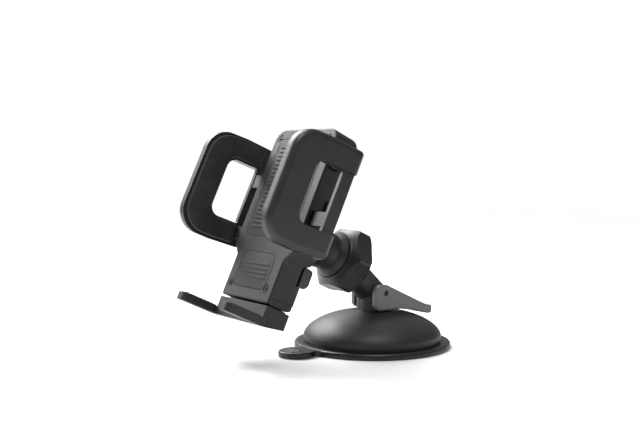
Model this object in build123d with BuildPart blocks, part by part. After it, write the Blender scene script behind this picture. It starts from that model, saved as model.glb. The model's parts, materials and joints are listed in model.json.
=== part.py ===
from build123d import *
from math import acos, asin, cos, degrees, pi, radians, sin, sqrt, tan
import os

# Car phone mount: a suction base with a lock lever, a ball joint, and a leaning cradle with two
# sprung side arms and a foot. World frame in mm: +Z up, origin at the centre of the suction pad's
# underside, X along the phone's width, the driver looks along +Y.

# ---- driving dimensions -------------------------------------------------------------------------

# suction base
pad_radius = 40.0
pad_rim_height = 3.0
seal_inner_radius = 30.0
boss_height = 6.0
boss_radius = 15.0
dome_radius = 35.2
dome_foot = 4.4
dome_shoulder = 6.6
dome_centre = 4.6
dome_top = 19.1
shell = 2.4
tab_reach = 47.0
tab_radius = 9.0

# lock lever and pull rod
pin_y = 0.8
pin_z = 28.0
pin_radius = 1.5
crank_offset = 1.0
crank_radius = 1.9
crank_half_width = 2.2
pin_recess = 0.6
cheek_inside = 7.4
cheek_thickness = 3.0
cheek_sweep = 10.0
rod_radius = 1.8

# ball joint
ball_radius = 8.5
ball_depth = 49.5
stem_slope = 43.1
neck_radius = 4.5
stem_radius = 6.3
spigot_radius = 4.4
shoulder = 13.5
spigot_end = 17.5
sleeve_radius = 7.1
fit = 0.05

# cradle: leans back about X, its own coordinates are x, depth (away from the driver) and long axis
lean_back = 25.0
lean_y = -54.4
lean_z = 89.6
socket_height = -25.0

# case
case_front = 4.2
seam = 6.4
case_rear = 19.5
wall = 2.0
upper_half = 25.5
lower_half = 20.5
case_top = 25.0
case_step = -37.0
case_bottom = -62.8
case_rebate = 1.0
# places in x and long axis
upper_screws = [(-20.2, 19.6), (20.2, 19.6)]
lower_screws = [(-15.4, -56.4), (15.4, -56.4)]
socket_screw_gap = 17.0

# arms, rack and pinion
phone_half = 33.5
arm_thickness = 7.5
arm_pad_thickness = 1.8
arm_front = -25.0
arm_rear = 13.0
arm_slope = 0.075
arm_level = 5.0
arm_middle = -11.0
arm_half_height = 27.0
arm_corner = 12.0
window_front = -10.5
window_rear = 6.6
window_half_height = 15.0
window_corner = 5.0
window_bar_outside = 37.5
module = 1.0
teeth = 12
pressure_angle = 25.0
backlash = 0.12
bar_front = 7.0
bar_rear = 10.4
bar_width = 6.0
guide_end = -10.0
guide_offset = 19.5

# foot
foot_half = 20.5
foot_front = -17.0
foot_rear = 18.0
foot_top = -69.5
foot_thickness = 3.8
foot_neck_half = 18.5
prong_inside = 16.5
prong_outside = 23.5
prong_step = 6.0
tongue_half = 12.0
tongue_front = 12.6
tongue_rear = 14.6

# latch and release button
latch_low = -50.0
latch_high = -40.0
latch_front = 16.9
latch_proud = 22.4
latch_travel = 1.0
button_low = -18.6
button_high = -9.4
button_front = 11.8
button_rear = 16.2
button_proud = 1.4
slip = 0.3

cheek_outside = cheek_inside + cheek_thickness


# ---- work planes --------------------------------------------------------------------------------

# sketch axes of each plane: lean has x and depth, facing has x and long, sideways has depth and long
lean = Plane(
    origin=(0, lean_y, lean_z),
    x_dir=(1, 0, 0),
    z_dir=(0, sin(radians(lean_back)), cos(radians(lean_back))),
)
depth = Vector(0, cos(radians(lean_back)), -sin(radians(lean_back)))
depth_axis = Axis(lean.origin, depth)
long_axis = Axis(lean.origin, lean.z_dir)


def across(height):
    return lean.offset(height)


def facing(distance):
    return Plane(origin=lean.from_local_coords((0, distance, 0)), x_dir=(1, 0, 0), z_dir=-depth)


def sideways(offset, middle=0.0):
    return Plane(
        origin=lean.from_local_coords((offset, 0, middle)),
        x_dir=depth,
        z_dir=(1, 0, 0),
    )


# sketch axes: distance along the socket's axis and radius from it
socket_plane = sideways(0, socket_height)
socket_axis = Axis(socket_plane.origin, depth)
ball_centre = lean.from_local_coords((0, ball_depth, socket_height))
stem_direction = Vector(0, cos(radians(stem_slope)), -sin(radians(stem_slope)))
stem_plane = Plane(origin=ball_centre, x_dir=stem_direction, z_dir=(1, 0, 0))
stem_axis = Axis(ball_centre, stem_direction)
pin_plane = Plane(origin=(0, pin_y, pin_z), x_dir=(0, 1, 0), z_dir=(1, 0, 0))


def save(part, name):
    part.label = name
    export_step(part, f"parts/{name}.step")


def coil(start, direction, length, mean_radius, wire_radius, turns):
    """A round-wire compression spring standing on start."""
    seat = Plane(origin=start, z_dir=direction)
    rise = length - 2 * wire_radius
    base = seat.offset(wire_radius)
    path = Helix(
        pitch=rise / turns,
        height=rise,
        radius=mean_radius,
        center=base.origin,
        direction=base.z_dir,
    )
    with BuildPart() as spring:
        with BuildSketch(Plane(origin=path @ 0, z_dir=path % 0)):
            Circle(wire_radius)
        sweep(path=path, is_frenet=True)
    return spring.part


os.makedirs("parts", exist_ok=True)


# ---- suction base -------------------------------------------------------------------------------

# rubber suction pad: a flat sealing ring, a hollow that the pull rod draws up, and a pull tab
with BuildPart() as suction_pad:
    with BuildSketch(Plane.XZ):
        with BuildLine():
            Polyline(
                (seal_inner_radius, 0),
                (pad_radius, 0),
                (pad_radius, pad_rim_height),
                (dome_radius - 3, pad_rim_height),
                (boss_radius, boss_height),
                (0, boss_height),
                (0, pad_rim_height),
            )
            ThreePointArc(
                (0, pad_rim_height),
                (seal_inner_radius / 2, pad_rim_height * 0.72),
                (seal_inner_radius, 0),
            )
        make_face()
    revolve(axis=Axis.Z)
    rim = suction_pad.edges().filter_by(GeomType.CIRCLE).filter_by(
        lambda edge: abs(edge.radius - pad_radius) < 0.01
    )
    fillet(rim.sort_by(Axis.Z)[-1], radius=1.0)
    with BuildSketch(Plane.XY.offset(0.5)):
        with Locations((0, -tab_reach)):
            Circle(tab_radius)
        with Locations((0, -(pad_radius + tab_reach - tab_radius) / 2 + 1)):
            Rectangle(10, 8)
    extrude(amount=pad_rim_height - 0.5)
save(suction_pad.part, "suction_pad")

# ring that clamps the pad's rim under the dome
with BuildPart() as base_ring:
    with BuildSketch(Plane.XY.offset(pad_rim_height)):
        Circle(dome_radius - 0.5)
        Circle(dome_radius - 3, mode=Mode.SUBTRACT)
    extrude(amount=dome_foot - pad_rim_height)
save(base_ring.part, "base_ring")



def dome_arc(radius, top):
    """Part of an ellipse from the shoulder, at a radius, up to the middle of the dome."""
    rise = top - dome_centre
    start = asin((dome_shoulder - dome_centre) / rise)
    return EllipticalCenterArc(
        center=(0, dome_centre),
        x_radius=radius / cos(start),
        y_radius=rise,
        start_angle=degrees(start),
        arc_size=90 - degrees(start),
    )


# dome with its post: a column that carries the lever's pin, and a sleeve for the ball stem
with BuildPart() as base_dome:
    with BuildSketch(Plane.XZ):
        with BuildLine():
            Line((dome_radius, dome_foot), (dome_radius, dome_shoulder))
            dome_arc(dome_radius, dome_top)
            Line((0, dome_top), (0, dome_top - shell))
            dome_arc(dome_radius - shell, dome_top - shell)
            Line((dome_radius - shell, dome_shoulder), (dome_radius - shell, dome_foot))
            Line((dome_radius - shell, dome_foot), (dome_radius, dome_foot))
        make_face()
    revolve(axis=Axis.Z)
    with BuildSketch(Plane.XY.offset(14.5)):
        Circle(4.6)
    extrude(amount=4)
    with BuildSketch(Plane.XY.offset(dome_top - 1.5)):
        RectangleRounded(2 * sleeve_radius - 1.2, 15.4, 5.2)
    extrude(amount=10.5)
    with BuildSketch(stem_plane):
        with BuildLine():
            Polyline((shoulder + 0.1, 0), (shoulder + 0.1, sleeve_radius), (30, sleeve_radius))
            ThreePointArc((30, sleeve_radius), (33.4, sleeve_radius / 2), (34, 0))
            Line((34, 0), (shoulder + 0.1, 0))
        make_face()
    revolve(axis=stem_axis)
    # socket for the stem's spigot
    with BuildSketch(Plane(origin=stem_axis.position + stem_direction * shoulder, z_dir=stem_direction)):
        Circle(spigot_radius + fit)
    extrude(amount=spigot_end - shoulder + 0.2, mode=Mode.SUBTRACT)
    # guide for the pull rod and the chamber for its head
    with BuildSketch(Plane.XY.offset(14)):
        Circle(rod_radius + fit)
    extrude(amount=12, mode=Mode.SUBTRACT)
    with BuildSketch(Plane.YZ.offset(-2.3)):
        with BuildLine():
            FilletPolyline(
                (-4.0, 23.8), (4.6, 23.8), (4.6, 32.8), (-4.0, 32.8), radius=1.2, close=True
            )
        make_face()
    extrude(amount=4.6, mode=Mode.SUBTRACT)
    with BuildSketch(pin_plane.offset(-10)):
        Circle(pin_radius + fit)
    extrude(amount=20, mode=Mode.SUBTRACT)
    # hollows in the dome that the lower corners of the lever's cheeks swing through
    for start in (-cheek_outside - slip, cheek_inside - 0.2):
        with BuildSketch(pin_plane.offset(start)):
            Circle(cheek_sweep)
        extrude(amount=cheek_thickness + slip + 0.2, mode=Mode.SUBTRACT)
save(base_dome.part, "base_dome")

# lock lever: two cheeks astride the post, joined by a thumb tab
lever_outline = [
    (-5.9, 19.1),
    (-5.9, 32.2),
    (1.8, 32.2),
    (12.4, 27.3),
    (28.0, 20.2),
    (32.0, 19.4),
    (32.0, 15.4),
    (29.7, 15.1),
    (24.8, 16.2),
    (17.9, 18.2),
    (11.1, 19.1),
]
lever_rounding = [3.6, 3.8, 3.0, 20.0, 12.0, 1.2, 1.4, 6.0, 14.0, 20.0, 8.0]
with BuildPart() as lever:
    with BuildSketch(Plane.YZ.offset(-cheek_outside)):
        with BuildLine():
            FilletPolyline(*lever_outline, radius=lever_rounding, close=True)
        make_face()
    extrude(amount=2 * cheek_outside)
    outer_faces = lever.faces().filter_by(Axis.X)
    fillet(outer_faces.edges(), radius=0.9)
    # slot for the post, rounded at its blind end
    with BuildSketch(Plane.XY.offset(10)):
        with Locations((0, 5)):
            Rectangle(2 * cheek_inside, 25)
        with Locations((0, 17.5)):
            RectangleRounded(2 * cheek_inside, 9.0, 4.0)
    extrude(amount=30, mode=Mode.SUBTRACT)
    with BuildSketch(pin_plane.offset(-cheek_outside)):
        Circle(pin_radius)
    extrude(amount=2 * cheek_outside, mode=Mode.SUBTRACT)
save(lever.part, "lever")

# pin turned by the lever, with a crank in its middle that lifts the pull rod
with BuildPart() as lever_pin:
    for start in (-cheek_outside + pin_recess, crank_half_width):
        with BuildSketch(pin_plane.offset(start)):
            Circle(pin_radius)
        extrude(amount=cheek_outside - pin_recess - crank_half_width)
    with BuildSketch(pin_plane.offset(-crank_half_width)):
        with Locations((0, crank_offset)):
            Circle(crank_radius)
    extrude(amount=2 * crank_half_width)
save(lever_pin.part, "lever_pin")

# pull rod with a slotted head round the crank
head_low = 24.4
with BuildPart() as pull_rod:
    with BuildSketch(Plane.XY.offset(boss_height)):
        Circle(rod_radius)
    extrude(amount=head_low + 0.8 - boss_height)
    with BuildSketch(Plane.YZ.offset(-2.0)):
        with BuildLine():
            FilletPolyline(
                (-3.7, head_low + 0.6),
                (4.3, head_low + 0.6),
                (4.3, 32.4),
                (-3.7, 32.4),
                radius=1.4,
                close=True,
            )
        make_face()
        with BuildLine():
            FilletPolyline(
                (pin_y - crank_radius - crank_offset - 0.2, pin_z + crank_offset - crank_radius - 0.3),
                (pin_y + crank_radius + 0.3, pin_z + crank_offset - crank_radius - 0.3),
                (pin_y + crank_radius + 0.3, pin_z + crank_offset + crank_radius + 0.3),
                (pin_y - crank_radius - crank_offset - 0.2, pin_z + crank_offset + crank_radius + 0.3),
                radius=0.5,
                close=True,
            )
        make_face(mode=Mode.SUBTRACT)
    extrude(amount=4.0)
save(pull_rod.part, "pull_rod")

# steel disc on the rod's lower end, moulded onto the pad's boss
with BuildPart() as pull_plate:
    with BuildSketch(Plane.XY.offset(boss_height)):
        Circle(13)
        Circle(rod_radius, mode=Mode.SUBTRACT)
    extrude(amount=1.5)
save(pull_plate.part, "pull_plate")

rod_spring = coil((0, 0, boss_height + 1.6), (0, 0, 1), 6.8, 3.1, 0.35, 5)
save(rod_spring, "rod_spring")

# ---- ball joint ---------------------------------------------------------------------------------

# ball on its stem, with a spigot that turns in the post's sleeve
neck_start = sqrt(ball_radius**2 - neck_radius**2)
with BuildPart() as ball_stem:
    with BuildSketch(stem_plane):
        with BuildLine():
            ThreePointArc((-ball_radius, 0), (0, ball_radius), (neck_start, neck_radius))
            Line((neck_start, neck_radius), (8.8, neck_radius))
            Spline(
                (8.8, neck_radius),
                (shoulder - 1.4, stem_radius),
                tangents=((1, 0), (1, 0)),
            )
            Polyline(
                (shoulder - 1.4, stem_radius),
                (shoulder, stem_radius),
                (shoulder, spigot_radius),
                (spigot_end, spigot_radius),
                (spigot_end, 0),
                (-ball_radius, 0),
            )
        make_face()
    revolve(axis=stem_axis)
save(ball_stem.part, "ball_stem")

# socket: flange, tapered pedestal with ribs, and a cup with the nut's thread outside
cup_radius = ball_radius + fit
shell_radius = 12.8
pedestal_end = 40.2
thread_start = 44.2
thread_end = 50.4
thread_radius = 11.2
shell_start = ball_depth - sqrt(shell_radius**2 - 9.0**2)
shell_end = ball_depth - sqrt(shell_radius**2 - 11.6**2)
cup_lip = sqrt(cup_radius**2 - (thread_end - ball_depth) ** 2)
flange_rear = case_rear + 2.2
with BuildPart() as socket:
    with BuildSketch(socket_plane):
        with BuildLine():
            Polyline(
                (ball_depth - cup_radius, 0),
                (case_rear, 0),
                (case_rear, 14.4),
                (flange_rear, 14.4),
                (flange_rear, 13.2),
                (36.6, 9.6),
                (pedestal_end, 9.6),
                (pedestal_end, 9.0),
                (shell_start, 9.0),
            )
            RadiusArc((shell_start, 9.0), (shell_end, 11.6), shell_radius)
            Polyline(
                (shell_end, 11.6),
                (shell_end, thread_radius),
                (thread_end, thread_radius),
                (thread_end, cup_lip),
            )
            ThreePointArc(
                (thread_end, cup_lip),
                (
                    ball_depth - cup_radius * cos(radians(45)),
                    cup_radius * sin(radians(45)),
                ),
                (ball_depth - cup_radius, 0),
            )
        make_face()
    revolve(axis=socket_axis)
    # four gussets from the flange to the pedestal's bead
    for turn in (35, 145, 215, 325):
        rib_plane = Plane(
            origin=socket_plane.origin,
            x_dir=depth,
            z_dir=Vector(1, 0, 0).rotate(socket_axis, turn),
        )
        with BuildSketch(rib_plane):
            with BuildLine():
                Polyline(
                    (flange_rear, 8.0),
                    (flange_rear, 13.9),
                    (26.0, 13.2),
                    (33.0, 11.4),
                    (34.5, 8.0),
                    close=True,
                )
            make_face()
        extrude(amount=0.7, both=True)
    with BuildSketch(Plane(origin=facing(case_rear).origin + lean.z_dir * socket_height,
                           x_dir=(1, 0, 0), z_dir=-depth)):
        with GridLocations(socket_screw_gap, socket_screw_gap, 2, 2):
            Circle(1.2)
    extrude(amount=-6, mode=Mode.SUBTRACT)
save(socket.part, "socket")

# screws from inside the case into the socket's flange
with BuildPart() as socket_screws:
    screw_plane = Plane(
        origin=facing(case_rear - wall).origin + lean.z_dir * socket_height,
        x_dir=(1, 0, 0),
        z_dir=-depth,
    )
    with BuildSketch(screw_plane):
        with GridLocations(socket_screw_gap, socket_screw_gap, 2, 2):
            Circle(2.1)
    extrude(amount=1.5)
    with BuildSketch(screw_plane):
        with GridLocations(socket_screw_gap, socket_screw_gap, 2, 2):
            Circle(1.2)
    extrude(amount=-wall - 5)
    with BuildSketch(screw_plane.offset(1.5)):
        with GridLocations(socket_screw_gap, socket_screw_gap, 2, 2):
            Rectangle(2.6, 0.6)
            Rectangle(0.6, 2.6)
    extrude(amount=-0.7, mode=Mode.SUBTRACT)
save(socket_screws.part, "socket_screws")

# nylon ring that the nut presses against the back of the ball
ring_front = 50.7
ring_rear = 53.3
ring_radius = 11.1
with BuildPart() as friction_ring:
    with BuildSketch(socket_plane):
        with BuildLine():
            Polyline(
                (ring_front, sqrt(cup_radius**2 - (ring_front - ball_depth) ** 2)),
                (ring_front, ring_radius),
                (ring_rear, ring_radius),
                (ring_rear, sqrt(cup_radius**2 - (ring_rear - ball_depth) ** 2)),
            )
            RadiusArc(
                (ring_rear, sqrt(cup_radius**2 - (ring_rear - ball_depth) ** 2)),
                (ring_front, sqrt(cup_radius**2 - (ring_front - ball_depth) ** 2)),
                -cup_radius,
            )
        make_face()
    revolve(axis=socket_axis)
save(friction_ring.part, "friction_ring")

# clamp nut: six scooped facets over a turned body, with an opening for the stem
nut_front = 44.4
nut_rear = 56.8
nut_corner = 17.7
nut_apothem = 15.3
facet_scoop = 0.6
with BuildPart() as nut_turning:
    with BuildSketch(socket_plane):
        with BuildLine():
            Polyline(
                (nut_front, thread_radius + 0.1),
                (nut_front, 12.2),
                (45.0, 12.8),
                (48.4, 17.2),
            )
            ThreePointArc((48.4, 17.2), (48.9, 17.6), (49.6, nut_corner))
            Line((49.6, nut_corner), (54.4, nut_corner))
            ThreePointArc((54.4, nut_corner), (56.1, 16.6), (nut_rear, 14.4))
            Polyline(
                (nut_rear, 14.4),
                (nut_rear, 11.0),
                (53.6, 8.2),
                (53.6, thread_radius + 0.1),
                (nut_front, thread_radius + 0.1),
            )
        make_face()
    revolve(axis=socket_axis)
with BuildPart() as clamp_nut:
    with BuildSketch(Plane(origin=socket_plane.origin + depth * (nut_front - 1), z_dir=depth,
                           x_dir=(1, 0, 0))):
        with BuildLine():
            for side in range(6):
                start = side * 60
                ThreePointArc(
                    (nut_corner * cos(radians(start)), nut_corner * sin(radians(start))),
                    (
                        (nut_apothem - facet_scoop) * cos(radians(start + 30)),
                        (nut_apothem - facet_scoop) * sin(radians(start + 30)),
                    ),
                    (nut_corner * cos(radians(start + 60)), nut_corner * sin(radians(start + 60))),
                )
        make_face()
    extrude(amount=nut_rear - nut_front + 2)
    fillet(clamp_nut.edges().filter_by(socket_axis), radius=1.3)
    add(nut_turning.part, mode=Mode.INTERSECT)
save(clamp_nut.part, "clamp_nut")

# ---- cradle case --------------------------------------------------------------------------------


def case_outline(inset):
    """T-shaped outline of the case, seen from the front, drawn inwards by inset."""
    half_up = upper_half - inset
    half_low = lower_half - inset
    with BuildSketch() as outline:
        with BuildLine():
            FilletPolyline(
                (-half_up, case_top - inset),
                (half_up, case_top - inset),
                (half_up, case_step + inset),
                (half_low, case_step - 5 + inset),
                (half_low, case_bottom + inset),
                (-half_low, case_bottom + inset),
                (-half_low, case_step - 5 + inset),
                (-half_up, case_step + inset),
                radius=[7 - inset, 7 - inset, 2, 2, 1.4, 1.4, 2, 2],
                close=True,
            )
        make_face()
    return outline.sketch


def case_block(inset, rear, rounding):
    """Solid with the case's outline from the seam to a depth, rounded round its rear face."""
    with BuildPart() as block:
        with BuildSketch(facing(seam)):
            add(case_outline(inset))
        extrude(amount=seam - rear)
        fillet(block.faces().sort_by(depth_axis)[-1].edges(), radius=rounding)
    return block.part


rear_rounding = 3.0
pocket_rounding = 1.2
with BuildPart() as rear_cover:
    add(case_block(0, case_rear, rear_rounding))
    add(case_block(wall, case_rear - wall, pocket_rounding), mode=Mode.SUBTRACT)
    # bosses for the case screws, the upper two run into the corners' walls
    for spots, boss in ((upper_screws, 3.2), (lower_screws, 2.7)):
        with BuildSketch(facing(seam + 0.1)):
            with Locations(*spots):
                Circle(boss)
        extrude(amount=-(case_rear - wall - seam))
    # boss for the pinion's axle
    with BuildSketch(facing(12.9)):
        with Locations((0, arm_middle)):
            Circle(3.2)
    extrude(amount=-(case_rear - wall - 12.8))
    # post for the release spring
    with BuildSketch(facing(12.8)):
        with Locations((14.6, -14)):
            Rectangle(1.6, 5)
    extrude(amount=-(case_rear - wall - 12.7))
    # holes for the case screws, the axle and the socket's screws
    with BuildSketch(facing(seam)):
        with Locations(*upper_screws, *lower_screws):
            Circle(1.2)
    extrude(amount=-9, mode=Mode.SUBTRACT)
    with BuildSketch(facing(12.9)):
        with Locations((0, arm_middle)):
            Circle(pin_radius)
    extrude(amount=-3.6, mode=Mode.SUBTRACT)
    with BuildSketch(facing(case_rear - wall - 0.5)):
        with Locations((0, socket_height)):
            with GridLocations(socket_screw_gap, socket_screw_gap, 2, 2):
                Circle(1.2)
    extrude(amount=-wall - 1, mode=Mode.SUBTRACT)
    # slots for the arms' bars: the rack and the guide of each arm leave on their own side
    rack_height = bar_width + module
    rack_centre = teeth * module / 2 + bar_width - rack_height / 2
    for side in (1, -1):
        with BuildSketch(sideways(side * (upper_half - wall / 2), arm_middle)):
            with Locations(((seam + bar_rear + slip) / 2 - 0.5, -side * rack_centre)):
                Rectangle(bar_rear + slip - seam + 1, rack_height + 2 * slip)
            with Locations(((seam + bar_rear + slip) / 2 - 0.5, side * guide_offset)):
                Rectangle(bar_rear + slip - seam + 1, bar_width + 2 * slip)
        extrude(amount=wall, both=True, mode=Mode.SUBTRACT)
    # window for the release button
    with BuildSketch(sideways(upper_half - wall / 2)):
        with Locations(((button_front + button_rear) / 2, (button_low + button_high) / 2)):
            RectangleRounded(
                button_rear - button_front + 2 * slip, button_high - button_low + 2 * slip, 0.8
            )
    extrude(amount=wall, both=True, mode=Mode.SUBTRACT)
    # slot for the latch across the back, and the opening for the foot's tongue
    slot_front = latch_front - latch_travel - slip
    with BuildSketch(sideways(-upper_half)):
        with Locations(((slot_front + 24) / 2, (latch_low + latch_high) / 2)):
            Rectangle(24 - slot_front, latch_high - latch_low + 2 * slip)
    extrude(amount=2 * upper_half, mode=Mode.SUBTRACT)
    # rebate round the lower end, on the sides and the back
    for side in (1, -1):
        with BuildSketch(across(case_bottom - 1)):
            with Locations((side * lower_half, (seam + case_rear) / 2)):
                Rectangle(2 * case_rebate, case_rear - seam + 2)
        extrude(amount=4.4, mode=Mode.SUBTRACT)
    with BuildSketch(across(case_bottom - 1)):
        with Locations((0, case_rear)):
            Rectangle(2 * lower_half, 2 * case_rebate)
    extrude(amount=4.4, mode=Mode.SUBTRACT)
    with BuildSketch(across(case_bottom - 1)):
        with Locations((0, (tongue_front + tongue_rear) / 2)):
            Rectangle(2 * tongue_half + 2 * slip, tongue_rear - tongue_front + 2 * slip)
    extrude(amount=wall + 2, mode=Mode.SUBTRACT)
save(rear_cover.part, "rear_cover")

# front plate with a raised border round the rubber face pad
with BuildPart() as front_plate:
    with BuildSketch(facing(seam)):
        add(case_outline(0))
    extrude(amount=seam - case_front)
    fillet(front_plate.faces().sort_by(depth_axis)[0].edges(), radius=0.8)
    with BuildSketch(facing(case_front)):
        with Locations((0, -6)):
            RectangleRounded(40, 52, 5)
        with Locations((0, -48.5)):
            RectangleRounded(28, 18, 4)
    extrude(amount=-0.8, mode=Mode.SUBTRACT)
    with BuildSketch(facing(seam)):
        with Locations(*upper_screws, *lower_screws):
            Circle(1.3)
        with Locations((0, arm_middle)):
            Circle(pin_radius)
    extrude(amount=1.2, mode=Mode.SUBTRACT)
    with BuildSketch(facing(case_front)):
        with Locations(*upper_screws, *lower_screws):
            Circle(2.3)
    extrude(amount=-1.2, mode=Mode.SUBTRACT)
save(front_plate.part, "front_plate")

# rubber face pads, set in the front plate and proud of it
with BuildPart() as face_pads:
    with BuildSketch(facing(case_front + 0.8)):
        with Locations((0, -6)):
            RectangleRounded(39.6, 51.6, 4.8)
        with Locations((0, -48.5)):
            RectangleRounded(27.6, 17.6, 3.8)
    extrude(amount=1.2)
    front_edges = face_pads.faces().group_by(depth_axis)[0].edges()
    fillet(front_edges, radius=0.35)
save(face_pads.part, "face_pads")

# case screws, countersunk under the phone
with BuildPart() as case_screws:
    with BuildSketch(facing(case_front + 1.2)):
        with Locations(*upper_screws, *lower_screws):
            Circle(2.1)
    extrude(amount=1.0)
    with BuildSketch(facing(case_front + 1.2)):
        with Locations(*upper_screws, *lower_screws):
            Circle(1.2)
    extrude(amount=-9)
    with BuildSketch(facing(case_front + 0.2)):
        with Locations(*upper_screws, *lower_screws):
            Rectangle(2.6, 0.6)
            Rectangle(0.6, 2.6)
    extrude(amount=-0.6, mode=Mode.SUBTRACT)
save(case_screws.part, "case_screws")

with BuildPart() as pinion_axle:
    with BuildSketch(facing(seam - 1.2)):
        with Locations((0, arm_middle)):
            Circle(pin_radius)
    extrude(amount=-(12.9 + 3.6 - seam + 1.2))
save(pinion_axle.part, "pinion_axle")

# ---- arms and pinion ----------------------------------------------------------------------------

pitch_radius = teeth * module / 2
tip_radius = pitch_radius + module
root_radius = pitch_radius - 1.25 * module
base_radius = pitch_radius * cos(radians(pressure_angle))
tooth_pitch = pi * module


def involute_angle(radius):
    """Polar angle of the involute, in radians, at a radius from the gear's centre."""
    if radius <= base_radius:
        return 0.0
    pressure = acos(base_radius / radius)
    return tan(pressure) - pressure


# half the angle of a tooth at the pitch circle, thinned by the backlash
half_tooth = (tooth_pitch / 4 - backlash / 2) / pitch_radius
flank_shift = half_tooth + involute_angle(pitch_radius)


def flank_point(radius, centre, side):
    angle = centre + side * (flank_shift - involute_angle(radius))
    return (radius * cos(angle), radius * sin(angle))


with BuildPart() as pinion:
    gear_plane = Plane(
        origin=lean.from_local_coords((0, bar_front, arm_middle)), x_dir=(1, 0, 0), z_dir=-depth
    )
    with BuildSketch(gear_plane):
        with BuildLine():
            step = 2 * pi / teeth
            radii = [base_radius + (tip_radius - base_radius) * i / 4 for i in range(5)]
            for tooth in range(teeth):
                centre = pi / 2 + tooth * step
                root_before = flank_point(root_radius, centre, -1)
                root_after = flank_point(root_radius, centre, 1)
                Line(root_before, flank_point(base_radius, centre, -1))
                Spline(*[flank_point(radius, centre, -1) for radius in radii])
                ThreePointArc(
                    flank_point(tip_radius, centre, -1),
                    (tip_radius * cos(centre), tip_radius * sin(centre)),
                    flank_point(tip_radius, centre, 1),
                )
                Spline(*[flank_point(radius, centre, 1) for radius in reversed(radii)])
                Line(flank_point(base_radius, centre, 1), root_after)
                middle = centre + step / 2
                ThreePointArc(
                    root_after,
                    (root_radius * cos(middle), root_radius * sin(middle)),
                    flank_point(root_radius, centre + step, -1),
                )
        make_face()
    extrude(amount=-(bar_rear - bar_front))
    # ratchet wheel behind the gear
    with BuildSketch(gear_plane.offset(bar_front - bar_rear)):
        Circle(root_radius - 0.4)
    extrude(amount=-0.5)
    with BuildSketch(gear_plane.offset(bar_front - bar_rear - 0.5)):
        with BuildLine():
            ratchet = []
            for tooth in range(24):
                angle = tooth * 15
                ratchet.append((8.0 * cos(radians(angle)), 8.0 * sin(radians(angle))))
                ratchet.append((7.2 * cos(radians(angle + 1)), 7.2 * sin(radians(angle + 1))))
            Polyline(*ratchet, close=True)
        make_face()
    extrude(amount=-1.5)
    with BuildSketch(gear_plane.offset(1)):
        Circle(pin_radius + fit)
    extrude(amount=-8, mode=Mode.SUBTRACT)
save(pinion.part, "pinion")


def sloped(at_depth, height, slope):
    """Point of an arm's side view, moved up in proportion to its depth."""
    return (at_depth, height + slope * (at_depth - arm_level))


def arm_outline(slope, margin):
    """Side view of an arm about its own middle: depth and height, drawn in by a margin."""
    half = arm_half_height - margin
    front = arm_front + margin
    rear = arm_rear - margin
    with BuildSketch() as outline:
        with BuildLine():
            FilletPolyline(
                sloped(front, -half + 0.6, slope),
                sloped(front, half - 0.6, slope),
                sloped(-5, half + 0.2, slope),
                sloped(rear, half - 0.4, slope),
                sloped(rear, -half + 0.4, slope),
                sloped(-5, -half - 0.2, slope),
                radius=[arm_corner, arm_corner, 30, 2.0, 2.0, 30],
                close=True,
            )
        make_face()
    return outline.sketch


def arm_window(slope, margin, rear=window_rear):
    """Outline of the opening in an arm, larger than the nominal one by a margin."""
    half = window_half_height + margin
    front = window_front - margin
    with BuildSketch() as outline:
        with BuildLine():
            FilletPolyline(
                sloped(front, -half, slope),
                sloped(front, half, slope),
                sloped(rear, half, slope),
                sloped(rear, -half, slope),
                radius=[window_corner, window_corner, 1.0, 1.0],
                close=True,
            )
        make_face()
    return outline.sketch


arm_inside = phone_half + arm_pad_thickness
arm_outside = phone_half + arm_thickness
rack_line = -pitch_radius
gap = tooth_pitch / 4 + backlash / 2
lean_in = tan(radians(pressure_angle))
rack_tip = rack_line + module * 0.95
rack_root = rack_line - 1.25 * module
rack_end = -5 * tooth_pitch


def arm_block(slope):
    """Arm on the right of the cradle, with a rack bar under the pinion and a guide bar above it."""
    with BuildPart() as block:
        with BuildSketch(sideways(arm_inside, arm_middle)):
            add(arm_outline(slope, 0))
            add(arm_window(slope, 0), mode=Mode.SUBTRACT)
        extrude(amount=arm_outside - arm_inside)
        # rounded round the outside, but crisp at the rear
        outer = block.faces().sort_by(Axis.X)[-1]
        rounded = outer.outer_wire().edges().sort_by(depth_axis)
        fillet(rounded[:-3], radius=3.0)
        # the window runs out through the rear of the outer layer
        with BuildSketch(sideways(window_bar_outside, arm_middle)):
            add(arm_window(slope, 0, arm_rear + 4))
        extrude(amount=arm_outside - window_bar_outside, mode=Mode.SUBTRACT)
        with BuildSketch(Plane(origin=gear_plane.origin, x_dir=(1, 0, 0), z_dir=-depth)):
            with BuildLine():
                points = [
                    (arm_inside + 1, rack_line - bar_width),
                    (rack_end, rack_line - bar_width),
                    (rack_end, rack_root),
                    (rack_end + gap - lean_in * 1.25 * module, rack_root),
                    (rack_end + gap + lean_in * 0.95 * module, rack_tip),
                ]
                for tooth in range(-4, 4):
                    middle = tooth * tooth_pitch
                    points.append((middle - gap - lean_in * module * 0.95, rack_tip))
                    points.append((middle - gap + lean_in * 1.25 * module, rack_root))
                    points.append((middle + gap - lean_in * 1.25 * module, rack_root))
                    points.append((middle + gap + lean_in * module * 0.95, rack_tip))
                points.append((arm_inside + 1, rack_tip))
                Polyline(*points, close=True)
            make_face()
            with Locations(((guide_end + arm_inside + 1) / 2, guide_offset)):
                Rectangle(arm_inside + 1 - guide_end, bar_width)
        extrude(amount=-(bar_rear - bar_front))
    return block.part


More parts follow.
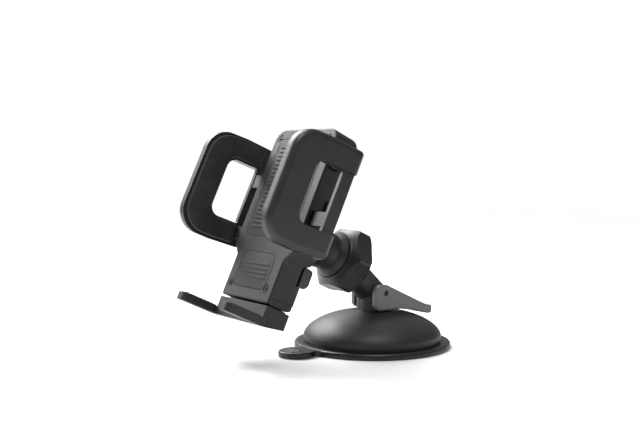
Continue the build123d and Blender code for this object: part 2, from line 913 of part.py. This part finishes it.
def pad_block(slope):
    """Rubber pad on the inside of the right arm, round the window and in front of the case."""
    with BuildPart() as block:
        with BuildSketch(sideways(phone_half, arm_middle)):
            add(arm_outline(slope, 1.3))
            add(arm_window(slope, 1.0), mode=Mode.SUBTRACT)
            with Locations((bar_front - slip + arm_rear / 2, 0)):
                Rectangle(arm_rear, 3 * arm_half_height, mode=Mode.SUBTRACT)
        extrude(amount=arm_pad_thickness)
        inner = block.faces().sort_by(Axis.X)[0]
        fillet(inner.outer_wire().edges(), radius=0.8)
    return block.part


# the left arm is turned half a turn about the pinion, with its slope reversed before the turn
pinion_axis = Axis(gear_plane.origin, depth)
save(arm_block(arm_slope), "right_arm")
save(pad_block(arm_slope), "right_arm_pad")
save(arm_block(-arm_slope).rotate(pinion_axis, 180), "left_arm")
save(pad_block(-arm_slope).rotate(pinion_axis, 180), "left_arm_pad")

# springs that push the arms open, each between a guide bar's end and the far wall
bar_middle = (bar_front + bar_rear) / 2
spring_length = guide_end + upper_half - wall - 0.2
for side, name in ((-1, "right_arm_spring"), (1, "left_arm_spring")):
    seat = lean.from_local_coords(
        (side * (upper_half - wall - 0.1), bar_middle, arm_middle - side * guide_offset)
    )
    save(coil(seat, (-side, 0, 0), spring_length, 1.3, 0.25, 9), name)

# ---- release button -----------------------------------------------------------------------------

button_face = upper_half + button_proud
inner_wall = upper_half - wall
with BuildPart() as release_button:
    with BuildSketch(sideways(inner_wall - 1.8)):
        with Locations(((button_front + button_rear) / 2, (button_low + button_high) / 2)):
            RectangleRounded(button_rear - button_front, button_high - button_low, 0.7)
    extrude(amount=button_face - inner_wall + 1.8)
    fillet(release_button.faces().sort_by(Axis.X)[-1].edges(), radius=0.5)
    # flange that keeps the button in, and the pawl's arm below the ratchet wheel
    with BuildSketch(sideways(inner_wall - 1.8)):
        with Locations(((10.9 + button_rear + 0.4) / 2, (button_low + button_high) / 2)):
            Rectangle(button_rear + 0.4 - 10.9, button_high - button_low + 2.4)
    extrude(amount=1.7)
    with BuildSketch(facing(10.9)):
        with BuildLine():
            Polyline(
                (inner_wall - 0.1, -18.0),
                (inner_wall - 0.1, -22.6),
                (-12.0, -22.6),
                (-12.0, -12.6),
                (-8.6, -13.4),
                (-10.2, -15.0),
                (-10.2, -20.6),
                (inner_wall - 1.8, -20.6),
                (inner_wall - 1.8, -18.0),
                close=True,
            )
        make_face()
    extrude(amount=-1.5)
save(release_button.part, "release_button")

release_seat = lean.from_local_coords((15.5, 14.4, -14))
save(coil(release_seat, (1, 0, 0), inner_wall - 1.9 - 15.5, 1.3, 0.25, 5), "release_spring")

# ---- foot ---------------------------------------------------------------------------------------

foot_bottom = foot_top - foot_thickness
prong_middle = (prong_inside + prong_outside) / 2
prong_width = prong_outside - prong_inside
with BuildPart() as foot:
    with BuildSketch(across(foot_bottom)):
        with Locations((0, (foot_rear + 2) / 2)):
            Rectangle(2 * foot_half, foot_rear - 2)
        for side in (1, -1):
            with Locations((side * prong_middle, (foot_front + prong_step) / 2)):
                RectangleRounded(prong_width, prong_step - foot_front, 2.4)
    extrude(amount=foot_thickness)
    # upright part under the case, and a neck that closes the gap between them
    with BuildSketch(across(foot_bottom)):
        with Locations((0, (4.6 + foot_rear) / 2)):
            Rectangle(2 * foot_half, foot_rear - 4.6)
    extrude(amount=-63.8 - foot_bottom)
    with BuildSketch(across(-64)):
        with Locations((0, (8 + 17) / 2)):
            Rectangle(2 * foot_neck_half, 17 - 8)
    extrude(amount=case_bottom - slip + 64)
    with BuildSketch(across(foot_top)):
        with Locations((0, (tongue_front + tongue_rear) / 2)):
            Rectangle(2 * tongue_half, tongue_rear - tongue_front)
    extrude(amount=-34 - foot_top)
    # underside cut back towards the rear
    with BuildSketch(sideways(-prong_outside - 1)):
        with BuildLine():
            Polyline(
                (6.0, foot_bottom - 1),
                (6.0, foot_bottom),
                (foot_rear + 1, foot_bottom + 2.0),
                (foot_rear + 1, foot_bottom - 1),
                close=True,
            )
        make_face()
    extrude(amount=2 * prong_outside + 2, mode=Mode.SUBTRACT)
save(foot.part, "foot")

# rubber strips on the prongs
with BuildPart() as foot_pads:
    with BuildSketch(across(foot_top)):
        for side in (1, -1):
            with Locations((side * prong_middle, (foot_front + 4) / 2)):
                RectangleRounded(prong_width - 2, 2 - foot_front, 1.8)
    extrude(amount=0.4)
save(foot_pads.part, "foot_pads")

# latch: a press bar across the back with a yoke round the tongue
yoke_middle = (latch_low + latch_high) / 2
yoke_front = tongue_front - slip
yoke_rear = tongue_rear + latch_travel + slip
with BuildPart() as foot_latch:
    with BuildSketch(sideways(-lower_half)):
        with BuildLine():
            FilletPolyline(
                (latch_front, latch_low),
                (latch_front, latch_high),
                (latch_proud, latch_high - 0.6),
                (latch_proud, latch_low + 2.0),
                (latch_proud - 1.6, latch_low),
                radius=[0.4, 0.4, 1.8, 1.0, 1.0],
                close=True,
            )
        make_face()
    extrude(amount=2 * lower_half)
    fillet(foot_latch.faces().filter_by(Axis.X).edges(), radius=0.35)
    with BuildSketch(across(yoke_middle - 2)):
        with Locations((0, (10.6 + 17.2) / 2)):
            Rectangle(28.6, 6.6)
        with Locations((0, (yoke_front + yoke_rear) / 2)):
            Rectangle(2 * tongue_half + 2 * slip, yoke_rear - yoke_front, mode=Mode.SUBTRACT)
    extrude(amount=4)
save(foot_latch.part, "foot_latch")

latch_seats = [lean.from_local_coords((side * 16.4, seam + 0.1, yoke_middle)) for side in (1, -1)]
with BuildPart() as latch_springs:
    for seat in latch_seats:
        add(coil(seat, depth, 16.8 - seam - 0.1, 1.3, 0.25, 7))
save(latch_springs.part, "latch_springs")
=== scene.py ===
import json
from math import cos, pi, radians, sin, tan

import bmesh
import bpy
from mathutils import Matrix, Vector


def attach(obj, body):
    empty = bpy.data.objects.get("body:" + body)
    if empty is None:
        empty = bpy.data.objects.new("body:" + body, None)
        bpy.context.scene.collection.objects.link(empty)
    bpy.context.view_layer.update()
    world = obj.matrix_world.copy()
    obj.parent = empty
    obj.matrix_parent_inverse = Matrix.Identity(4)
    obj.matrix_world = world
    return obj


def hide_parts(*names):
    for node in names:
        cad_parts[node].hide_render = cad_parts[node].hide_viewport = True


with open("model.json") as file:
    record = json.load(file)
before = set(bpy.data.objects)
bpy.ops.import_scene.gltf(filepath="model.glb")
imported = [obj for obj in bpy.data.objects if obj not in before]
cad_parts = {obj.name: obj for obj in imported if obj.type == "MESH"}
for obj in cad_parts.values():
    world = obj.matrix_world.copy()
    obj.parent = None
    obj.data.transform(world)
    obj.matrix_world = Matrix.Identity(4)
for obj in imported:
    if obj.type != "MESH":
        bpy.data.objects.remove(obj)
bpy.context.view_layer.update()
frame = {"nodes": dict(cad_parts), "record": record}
mm = 0.001
print("frame loaded:", len(frame["nodes"]), "nodes")

# the cradle leans back about X; its own axes are X, depth (away from the driver) and long axis
cradle = {"leanBack": radians(25), "y": -54.4 * mm, "z": 89.6 * mm}
cradlePlace = Matrix.Translation((0, cradle["y"], cradle["z"])) @ Matrix.Rotation(-cradle["leanBack"], 4, "X")


# ---- finishes

def linear(hexColour):
    parts = [int(hexColour[i:i + 2], 16) / 255 for i in (1, 3, 5)]
    return [p / 12.92 if p <= 0.04045 else ((p + 0.055) / 1.055) ** 2.4 for p in parts] + [1.0]


def addNode(tree, kind, values=None, links=None, **settings):
    added = tree.nodes.new("ShaderNode" + kind)
    for name, value in settings.items():
        setattr(added, name, value)
    for socket, value in (values or {}).items():
        added.inputs[socket].default_value = value
    for socket, source in (links or {}).items():
        tree.links.new(source, added.inputs[socket])
    return added


def newMaterial(name):
    made = bpy.data.materials.new(name)
    made.use_nodes = True
    return made, made.node_tree, made.node_tree.nodes["Principled BSDF"]


def mouldedPlastic(name, look):
    # grain from the mould's surface, edges a little rounded and lightened, partly for rubbed wear and partly as a
    # painted edge highlight, broad faint patches of gloss
    made, tree, shader = newMaterial(name)
    place = addNode(tree, "TexCoord").outputs["Object"]
    grain = addNode(tree, "TexNoise", {"Scale": 1 / (look["grainMm"] * mm), "Detail": 3.0, "Roughness": 0.65},
                    {"Vector": place}).outputs["Fac"]
    patches = addNode(tree, "TexNoise", {"Scale": 1 / (look["patchMm"] * mm), "Detail": 4.0, "Roughness": 0.55},
                      {"Vector": place}).outputs["Fac"]
    rounded = addNode(tree, "Bevel", {"Radius": look["edgeMm"] * mm}, samples=4).outputs["Normal"]
    surface = addNode(tree, "NewGeometry").outputs["Normal"]
    turn = addNode(tree, "VectorMath", links={0: surface, 1: rounded}, operation="DOT_PRODUCT").outputs["Value"]
    # painted highlight: edges are lightened towards the edge colour, partly for rubbed wear and partly to paint the
    # light along them
    edgeWearAndHighlight = addNode(tree, "MapRange", {"From Min": 0.995, "From Max": 0.86, "To Max": look["edgeWearAndHighlightShare"]},
                   {"Value": turn}).outputs["Result"]
    shade = addNode(tree, "MapRange", {"From Min": 0.35, "From Max": 0.65}, {"Value": patches}).outputs["Result"]
    body = addNode(tree, "Mix", {6: linear(look["colour"]), 7: linear(look["patchColour"])}, {0: shade},
                   data_type="RGBA").outputs[2]
    rubbedAndHighlitEdges = addNode(tree, "Mix", {7: linear(look["edgeWearAndHighlightColour"])}, {0: edgeWearAndHighlight, 6: body}, data_type="RGBA").outputs[2]
    gloss = addNode(tree, "MapRange", {"From Min": 0.3, "From Max": 0.7, "To Min": look["roughness"] - 0.04,
                                       "To Max": look["roughness"] + 0.05}, {"Value": patches}).outputs["Result"]
    relief = addNode(tree, "Bump", {"Strength": look["grainStrength"], "Distance": look["grainDepthMm"] * mm},
                     {"Height": grain, "Normal": rounded}).outputs["Normal"]
    tree.links.new(rubbedAndHighlitEdges, shader.inputs["Base Color"])
    tree.links.new(gloss, shader.inputs["Roughness"])
    tree.links.new(relief, shader.inputs["Normal"])
    shader.inputs["IOR"].default_value = look["ior"]
    return made


def mouldedRubber(name, look):
    # soft skin: even, low gloss, with a trace of pale dust that sits in its pores
    made, tree, shader = newMaterial(name)
    place = addNode(tree, "TexCoord").outputs["Object"]
    pores = addNode(tree, "TexNoise", {"Scale": 1 / (look["poreMm"] * mm), "Detail": 4.0, "Roughness": 0.7},
                    {"Vector": place}).outputs["Fac"]
    haze = addNode(tree, "TexNoise", {"Scale": 1 / (look["hazeMm"] * mm), "Detail": 5.0}, {"Vector": place}).outputs["Fac"]
    dust = addNode(tree, "MapRange", {"From Min": 0.45, "From Max": 0.8, "To Max": look["dust"]},
                   {"Value": haze}).outputs["Result"]
    skin = addNode(tree, "Mix", {6: linear(look["colour"]), 7: linear(look["dustColour"])}, {0: dust},
                   data_type="RGBA").outputs[2]
    gloss = addNode(tree, "MapRange", {"From Min": 0.3, "From Max": 0.7, "To Min": look["roughness"] - 0.05,
                                       "To Max": look["roughness"] + 0.08}, {"Value": haze}).outputs["Result"]
    relief = addNode(tree, "Bump", {"Strength": 0.35, "Distance": look["poreDepthMm"] * mm},
                     {"Height": pores}).outputs["Normal"]
    tree.links.new(skin, shader.inputs["Base Color"])
    tree.links.new(gloss, shader.inputs["Roughness"])
    tree.links.new(relief, shader.inputs["Normal"])
    shader.inputs["IOR"].default_value = 1.52
    return made


def workedSteel(name, look):
    # fine marks that run one way, left by turning or drawing, and a slightly uneven plating
    made, tree, shader = newMaterial(name)
    place = addNode(tree, "TexCoord").outputs["Object"]
    drawn = addNode(tree, "Mapping", {"Scale": look["stretch"]}, {"Vector": place}).outputs["Vector"]
    marks = addNode(tree, "TexNoise", {"Scale": 1 / (look["markMm"] * mm), "Detail": 3.0}, {"Vector": drawn}).outputs["Fac"]
    cloud = addNode(tree, "TexNoise", {"Scale": 1 / (4 * mm), "Detail": 3.0}, {"Vector": place}).outputs["Fac"]
    plating = addNode(tree, "Mix", {6: linear(look["colour"]), 7: linear(look["cloudColour"])}, {0: cloud},
                      data_type="RGBA").outputs[2]
    gloss = addNode(tree, "MapRange", {"From Min": 0.3, "From Max": 0.7, "To Min": look["roughness"] - 0.06,
                                       "To Max": look["roughness"] + 0.08}, {"Value": marks}).outputs["Result"]
    relief = addNode(tree, "Bump", {"Strength": 0.25, "Distance": 0.01 * mm}, {"Height": marks}).outputs["Normal"]
    tree.links.new(plating, shader.inputs["Base Color"])
    tree.links.new(gloss, shader.inputs["Roughness"])
    tree.links.new(relief, shader.inputs["Normal"])
    shader.inputs["Metallic"].default_value = 1.0
    return made


# grain of 0.1 to 0.2 mm would be too fine to show, so it is drawn at 0.5 to 0.9 mm
blackAbs = {"colour": "#161617", "patchColour": "#1a1a1b", "edgeWearAndHighlightColour": "#3a3a3b", "edgeWearAndHighlightShare": 0.35,
            "roughness": 0.42, "ior": 1.53, "grainMm": 0.7, "grainDepthMm": 0.03, "grainStrength": 0.25,
            "patchMm": 14, "edgeMm": 0.35}
finishes = {
    # ABS from a spark-eroded mould: matte black with a soft, wide highlight
    "base_plastic": mouldedPlastic("sparkErodedAbsDome", {**blackAbs, "roughness": 0.52}),
    # ABS from a finer mould: charcoal with a satin edge light, which is partly a painted edge highlight in its colour
    "arm_plastic": mouldedPlastic("satinAbsArm", {**blackAbs, "colour": "#19191a", "patchColour": "#1d1d1e"}),
    # painted shade: the case and the foot take darker copies of the same black ABS, for the shade they lie in under a
    # held phone
    "case_plastic": mouldedPlastic("sparkErodedAbsCaseDarkenedForShade", {**blackAbs, "colour": "#131314", "patchColour": "#161617",
                                                          "roughness": 0.52, "grainMm": 0.9}),
    "foot_plastic": mouldedPlastic("sparkErodedAbsFootDarkenedForShade", {**blackAbs, "colour": "#101011", "patchColour": "#131314",
                                                          "roughness": 0.5}),
    "button_plastic": mouldedPlastic("satinAbsButton", {**blackAbs, "colour": "#1f1f20", "patchColour": "#232324",
                                                        "roughness": 0.36}),
    # grey-dyed ABS, the one light part of the mount, with a silky skin
    "lever_plastic": mouldedPlastic("satinAbsLeverGrey", {**blackAbs, "colour": "#5c5c5e", "patchColour": "#626264",
                                                          "edgeWearAndHighlightColour": "#8c8c8e", "roughness": 0.4}),
    # glass-filled nylon: cloudy, with fibres that break up the gloss
    "nut_plastic": mouldedPlastic("glassFilledNylonNut", {**blackAbs, "roughness": 0.4, "grainMm": 0.5,
                                                          "grainStrength": 0.35, "patchMm": 5}),
    # acetal: slippery and slightly waxy
    "stem_plastic": mouldedPlastic("mouldedAcetalStem", {**blackAbs, "roughness": 0.34, "ior": 1.48, "patchMm": 20}),
    # natural nylon, ivory and waxy
    "nylon": mouldedPlastic("naturalNylon", {**blackAbs, "colour": "#cfc8b6", "patchColour": "#d8d2c2",
                                             "edgeWearAndHighlightColour": "#e6e1d4", "roughness": 0.42}),
    # soft PVC of the suction pad: nearly black, glossy where it is wiped
    "pad_rubber": mouldedRubber("softPvcPad", {"colour": "#121213", "dustColour": "#4a4a4a", "dust": 0.12,
                                               "roughness": 0.36, "poreMm": 0.8, "poreDepthMm": 0.02, "hazeMm": 9}),
    # silicone of the grips: dull, holds a little dust
    "grip_rubber": mouldedRubber("siliconeGrip", {"colour": "#19191a", "dustColour": "#5a5a58", "dust": 0.15,
                                                  "roughness": 0.6, "poreMm": 0.5, "poreDepthMm": 0.03, "hazeMm": 6}),
    # black-oxide pin: dark, oily gloss
    "pin_steel": workedSteel("blackOxideSteel", {"colour": "#2b2a2b", "cloudColour": "#3a393a", "roughness": 0.34,
                                                 "markMm": 0.4, "stretch": (0.1, 1, 1)}),
    # blackened screws: dark, with a faint oily sheen
    "screw_steel": workedSteel("blackenedSteel", {"colour": "#3b3b3d", "cloudColour": "#313133", "roughness": 0.36,
                                                   "markMm": 0.3, "stretch": (1, 1, 1)}),
    # drawn spring wire: grey with marks along the wire
    "spring_steel": workedSteel("drawnSpringSteel", {"colour": "#8f9092", "cloudColour": "#7c7d80", "roughness": 0.28,
                                                     "markMm": 0.25, "stretch": (1, 1, 0.3)}),
}
nodeSlots = {part["node"]: part["material_slot"] for part in frame["record"]["subparts"]}
for nodeName, node in frame["nodes"].items():
    node.data.materials.clear()
    node.data.materials.append(finishes[nodeSlots[nodeName]])
print("finishes given to the carried-over nodes")


# ---- soft pieces: each stands for a plain CAD solid

def filletedLoop(corners, steps=8):
    # corners are (u, v, radius); the loop runs anticlockwise, with an arc of the radius at each corner
    loop = []
    for i, (u, v, radius) in enumerate(corners):
        here = Vector((u, v))
        back = (Vector(corners[i - 1][:2]) - here).normalized()
        ahead = (Vector(corners[(i + 1) % len(corners)][:2]) - here).normalized()
        half = back.angle(ahead) / 2
        if radius == 0 or half > radians(89):
            loop.append(here)
            continue
        centre = here + (back + ahead).normalized() * (radius / sin(half))
        first = here + back * (radius / tan(half)) - centre
        turn = first.angle_signed(here + ahead * (radius / tan(half)) - centre)
        for k in range(steps + 1):
            loop.append(centre + Matrix.Rotation(-turn * k / steps, 2) @ first)
    return loop


def insetLoop(loop, distance):
    moved = []
    for i, here in enumerate(loop):
        before = (here - loop[i - 1]).normalized()
        after = (loop[(i + 1) % len(loop)] - here).normalized()
        inward = Vector((-before.y - after.y, before.x + after.x)).normalized()
        moved.append(here + inward * distance / max(0.4, inward.dot(Vector((-before.y, before.x)))))
    return moved


def stackRings(mesh, rings):
    # skins one closed ring of points after another and closes both ends
    made = [[mesh.verts.new(point) for point in ring] for ring in rings]
    for low, high in zip(made, made[1:]):
        for i in range(len(low)):
            j = (i + 1) % len(low)
            mesh.faces.new((low[i], low[j], high[j], high[i]))
    mesh.faces.new(list(reversed(made[0])))
    mesh.faces.new(made[-1])


def moulding(loop, height, rounding, place, steps=4):
    # slab with a rounded upper rim; place turns (u, v, height) into the frame
    rim = [(rounding * (1 - sin(a)), height - rounding * (1 - cos(a)))
           for a in (pi / 2 * (steps - k) / steps for k in range(steps + 1))]
    rings = [[place @ Vector((*point, 0)) for point in loop]]
    rings += [[place @ Vector((*point, h)) for point in insetLoop(loop, inset)] for inset, h in rim]
    mesh = bmesh.new()
    stackRings(mesh, rings)
    return mesh


def asPiece(name, meshes, slotName, body, *nodes):
    whole = bmesh.new()
    for part in meshes:
        held = bpy.data.meshes.new("part")
        part.to_mesh(held)
        whole.from_mesh(held)
        bpy.data.meshes.remove(held)
        part.free()
    bmesh.ops.recalc_face_normals(whole, faces=whole.faces)
    mesh = bpy.data.meshes.new(name)
    whole.to_mesh(mesh)
    whole.free()
    mesh.materials.append(finishes[slotName])
    mesh.shade_smooth()
    mesh.set_sharp_from_angle(angle=radians(38))
    piece = bpy.data.objects.new(name, mesh)
    bpy.context.scene.collection.objects.link(piece)
    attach(piece, body)
    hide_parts(*nodes)


def lathe(profile, steps=96):
    # closed profile of (radius, height), turned about Z; points on the axis are welded
    mesh = bmesh.new()
    rings = [[mesh.verts.new((r * cos(2 * pi * k / steps), r * sin(2 * pi * k / steps), z)) for k in range(steps)]
             for r, z in profile]
    for low, high in zip(rings, rings[1:] + rings[:1]):
        for k in range(steps):
            j = (k + 1) % steps
            mesh.faces.new((low[k], low[j], high[j], high[k]))
    bmesh.ops.remove_doubles(mesh, verts=mesh.verts, dist=1e-6)
    return mesh


def block(corners, radius, height, rounding, place):
    # slab of rounded plan between two corners
    (u0, v0), (u1, v1) = corners
    loop = filletedLoop([(u0, v0, radius), (u1, v0, radius), (u1, v1, radius), (u0, v1, radius)], 6)
    return moulding(loop, height, rounding, place)


# sizes in this section are in mm
suction = {"radius": 40, "rim": 3.0, "dome": 32.2, "seal": 30, "boss": 15, "bossTop": 6.0, "hollow": 3,
           "lips": 5, "lipGap": 0.25, "groove": (1.5, 1.8)}
tab = {"reach": 47, "radius": 9, "openFrom": radians(-215), "sweep": radians(250), "steps": 40,
       "neck": 7.5, "root": 9.5, "low": 0.5, "high": 2.9, "ridges": (-52, -50, -48), "ridgeHalf": (4.5, 0.45)}


def padProfile():
    # down the hollow, out over the fine concentric lips, up the grooved rim and back over the top
    pad = suction
    axis = 1e-7
    hollow = [(pad["seal"] * k / 8, pad["hollow"] * (1 - (k / 8) ** 2)) for k in range(1, 8)]
    under = []
    gap = (pad["radius"] - pad["seal"]) / pad["lips"]
    for k in range(pad["lips"]):
        start = pad["seal"] + gap * k
        for share, height in ((0.15, 0.0), (0.55, 0.0), (0.7, pad["lipGap"]), (0.95, pad["lipGap"])):
            under.append((start + gap * share, height))
    low, high = pad["groove"]
    rim = [(pad["radius"] - inset, height) for inset, height in (
        (0.3, 0.0), (0, 0.35), (0, low), (0.25, low + 0.1), (0.25, high), (0.05, high + 0.15),
        (0.12, pad["rim"] - 0.6), (0.45, pad["rim"] - 0.2), (1.0, pad["rim"]), (3.6, pad["rim"] + 0.02))]
    upper = [(pad["dome"], pad["rim"]), (24, 4.6), (pad["boss"], pad["bossTop"]), (axis, pad["bossTop"])]
    return [(axis, pad["hollow"])] + hollow + under + rim + upper


def suctionPad():
    # the disc, and a tab with three ridges to peel it off
    loop = []
    for k in range(tab["steps"] + 1):
        a = tab["openFrom"] + k * tab["sweep"] / tab["steps"]
        loop.append(Vector((tab["radius"] * cos(a), -tab["reach"] + tab["radius"] * sin(a))))
    loop += [Vector(point) for point in ((tab["neck"], -40.5), (tab["root"], -38.0),
                                         (-tab["root"], -38.0), (-tab["neck"], -40.5))]
    inMm = Matrix.Scale(mm, 4)
    tongue = moulding(loop, tab["high"] - tab["low"], 0.7, inMm @ Matrix.Translation((0, 0, tab["low"])))
    halfLong, halfWide = tab["ridgeHalf"]
    onTab = inMm @ Matrix.Translation((0, 0, tab["high"] - 0.05))
    ridges = [block(((-halfLong, y - halfWide), (halfLong, y + halfWide)), 0.4, 0.35, 0.2, onTab)
              for y in tab["ridges"]]
    disc = lathe([(r * mm, z * mm) for r, z in padProfile()])
    asPiece("suctionPadRubber", [disc, tongue, *ridges], "pad_rubber", "base", "suction_pad")


# outlines are (half width, low, high, corner); the floor is how deep the pads' pockets lie in the plate
faceGrip = {"outlines": ((19.8, -31.8, 19.8, 4.8), (13.8, -57.3, -39.7, 3.8)), "floor": 5.0, "thick": 0.85,
            "rounding": 0.3, "margin": 3, "pitch": 2.2, "ribHalf": 0.55, "ribRise": 0.4}


def facePads():
    # two grips with ribs across them, for the phone's back
    grip = faceGrip
    toFace = cradlePlace @ Matrix.Rotation(radians(90), 4, "X") @ Matrix.Scale(mm, 4)
    base = toFace @ Matrix.Translation((0, 0, -grip["floor"]))
    onTop = base @ Matrix.Translation((0, 0, grip["thick"] - 0.05))
    meshes = []
    for half, low, high, corner in grip["outlines"]:
        meshes.append(block(((-half, low), (half, high)), corner, grip["thick"], grip["rounding"], base))
        count = int((high - low - 7) / grip["pitch"])
        for k in range(count):
            y = (low + high) / 2 + (k - (count - 1) / 2) * grip["pitch"]
            ends = ((grip["margin"] - half, y - grip["ribHalf"]), (half - grip["margin"], y + grip["ribHalf"]))
            meshes.append(block(ends, 0.5, grip["ribRise"], grip["rounding"], onTop))
    asPiece("faceGrips", meshes, "grip_rubber", "cradle", "face_pads")


armPad = {"inside": 33.5, "thick": 1.8, "middle": -11, "half": 25.7, "front": -23.7, "crown": -5, "rear": 6.7,
          "corner": 12, "crownCorner": 30, "endCorner": 1.2, "window": -11.5, "windowHalf": 16,
          "windowCorner": 5, "slope": 0.075, "level": 5, "rounding": 0.7}


def armGrip(side, name, node, body):
    # C-shaped grip on the inside of an arm, with a soft inner rim
    pad = armPad
    half, opening = pad["half"], pad["windowHalf"]

    def at(depth, height, radius):
        return (depth, pad["middle"] + height + pad["slope"] * (depth - pad["level"]), radius)

    loop = filletedLoop([
        at(pad["rear"], half - 0.3, pad["endCorner"]), at(pad["crown"], half + 0.2, pad["crownCorner"]),
        at(pad["front"], half - 0.6, pad["corner"]), at(pad["front"], 0.6 - half, pad["corner"]),
        at(pad["crown"], -half - 0.2, pad["crownCorner"]), at(pad["rear"], 0.3 - half, pad["endCorner"]),
        at(pad["rear"], -opening, pad["endCorner"]), at(pad["window"], -opening, pad["windowCorner"]),
        at(pad["window"], opening, pad["windowCorner"]), at(pad["rear"], opening, pad["endCorner"])])
    # (depth, long, height) goes to (x, depth, long), with the height counted inwards from the arm
    turn = Matrix(((0, 0, -side, side * (pad["inside"] + pad["thick"])), (1, 0, 0, 0), (0, 1, 0, 0), (0, 0, 0, 1)))
    place = cradlePlace @ Matrix.Scale(mm, 4) @ turn
    asPiece(name, [moulding(loop, pad["thick"], pad["rounding"], place)], "grip_rubber", body, node)


footPad = {"inside": 17.5, "outside": 22.5, "front": -16, "rear": 3, "base": -69.5, "thick": 0.4, "corner": 1.8,
           "margin": 2, "pitch": 2.0, "ribInset": 0.7, "ribHalf": 0.45, "ribRise": 0.35}


def footGrips():
    # a strip on each prong, with small ribs that the phone's lower edge rests on
    pad = footPad
    place = cradlePlace @ Matrix.Scale(mm, 4) @ Matrix.Translation((0, 0, pad["base"]))
    onTop = place @ Matrix.Translation((0, 0, pad["thick"] - 0.05))
    meshes = []
    for side in (1, -1):
        low, high = sorted((side * pad["inside"], side * pad["outside"]))
        meshes.append(block(((low, pad["front"]), (high, pad["rear"])), pad["corner"], pad["thick"], 0.2, place))
        count = int((pad["rear"] - pad["front"] - 2 * pad["margin"]) / pad["pitch"]) + 1
        for k in range(count):
            y = pad["front"] + pad["margin"] + k * pad["pitch"]
            ends = ((low + pad["ribInset"], y - pad["ribHalf"]), (high - pad["ribInset"], y + pad["ribHalf"]))
            meshes.append(block(ends, 0.4, pad["ribRise"], 0.25, onTop))
    asPiece("footGrips", meshes, "grip_rubber", "foot", "foot_pads")


suctionPad()
facePads()
armGrip(1, "rightArmGrip", "right_arm_pad", "right_arm")
armGrip(-1, "leftArmGrip", "left_arm_pad", "left_arm")
footGrips()
print("soft pieces built")


# ---- stage, camera and light

backdrop = {"floorRadius": 1.6, "fadeFrom": 0.5, "fadeTo": 1.3, "domeRadius": 14, "glow": 1.0, "ambient": 0.3}


def stagePiece(name, shape, material):
    mesh = bpy.data.meshes.new(name)
    shape.to_mesh(mesh)
    shape.free()
    mesh.materials.append(material)
    piece = bpy.data.objects.new(name, mesh)
    bpy.context.scene.collection.objects.link(piece)
    return piece


def studioFloor():
    # pale background paper that melts into the bright backdrop behind it
    made, tree, shader = newMaterial("paleMattePaper")
    place = addNode(tree, "TexCoord").outputs["Object"]
    fibre = addNode(tree, "TexNoise", {"Scale": 1 / (60 * mm), "Detail": 3.0}, {"Vector": place}).outputs["Fac"]
    tone = addNode(tree, "Mix", {6: linear("#f0f0f0"), 7: linear("#f3f3f3")}, {0: fibre}, data_type="RGBA").outputs[2]
    away = addNode(tree, "VectorMath", links={0: place}, operation="LENGTH").outputs["Value"]
    fade = addNode(tree, "MapRange", {"From Min": backdrop["fadeFrom"], "From Max": backdrop["fadeTo"],
                                      "To Min": 1.0, "To Max": 0.0}, {"Value": away},
                   interpolation_type="SMOOTHSTEP").outputs["Result"]
    tree.links.new(tone, shader.inputs["Base Color"])
    tree.links.new(fade, shader.inputs["Alpha"])
    shader.inputs["Roughness"].default_value = 0.9
    shader.inputs["Specular IOR Level"].default_value = 0.2
    disc = bmesh.new()
    bmesh.ops.create_circle(disc, cap_ends=True, segments=128, radius=backdrop["floorRadius"])
    stagePiece("floor", disc, made)


def studioBackdrop():
    # a white surround that only the camera sees, so that it lights nothing
    made, tree, shader = newMaterial("glowingBackdrop")
    glow = addNode(tree, "Emission", {"Color": (1, 1, 1, 1), "Strength": backdrop["glow"]}).outputs["Emission"]
    tree.links.new(glow, tree.nodes["Material Output"].inputs["Surface"])
    ball = bmesh.new()
    bmesh.ops.create_uvsphere(ball, u_segments=48, v_segments=24, radius=backdrop["domeRadius"])
    surround = stagePiece("surround", ball, made)
    surround.visible_diffuse = False
    surround.visible_glossy = False
    surround.visible_transmission = False
    surround.visible_shadow = False
    surround.visible_volume_scatter = False


def studioWorld():
    # even, dim fill from all round; the soft boxes make the highlights
    world = bpy.data.worlds.new("studio")
    world.use_nodes = True
    bpy.context.scene.world = world
    world.node_tree.nodes["Background"].inputs["Color"].default_value = (1, 1, 1, 1)
    world.node_tree.nodes["Background"].inputs["Strength"].default_value = backdrop["ambient"]


def softBox(name, soft):
    light = bpy.data.lights.new(name, "AREA")
    light.shape = "RECTANGLE"
    light.size, light.size_y = soft["size"]
    light.energy = soft["watts"]
    lamp = bpy.data.objects.new(name, light)
    lamp.location = soft["at"]
    lamp.rotation_euler = (Vector(soft["aim"]) - Vector(soft["at"])).to_track_quat("-Z", "Y").to_euler()
    bpy.context.scene.collection.objects.link(lamp)


def photoCamera():
    shot = {"at": (0.3951, -0.3175, 0.0978), "azimuth": radians(54.33), "down": radians(3.463), "lens": 56.09}
    data = bpy.data.cameras.new("camera")
    data.lens = shot["lens"]
    data.sensor_width = 36.0
    camera = bpy.data.objects.new("camera", data)
    camera.location = shot["at"]
    camera.rotation_euler = (pi / 2 - shot["down"], 0, shot["azimuth"])
    bpy.context.scene.collection.objects.link(camera)
    bpy.context.scene.camera = camera


studioFloor()
studioBackdrop()
studioWorld()
softBox("keyBox", {"size": (0.8, 0.9), "watts": 10, "at": (-0.75, -0.85, 0.75), "aim": (0, -0.03, 0.06)})
softBox("topBox", {"size": (0.8, 0.8), "watts": 24, "at": (-0.8, -0.05, 0.85), "aim": (0, 0, 0.03)})
softBox("edgeBox", {"size": (0.3, 0.5), "watts": 5, "at": (0.35, -0.2, 1.0), "aim": (0, -0.03, 0.05)})
photoCamera()
bpy.context.scene.view_settings.view_transform = "Standard"
print("stage, camera and light ready")
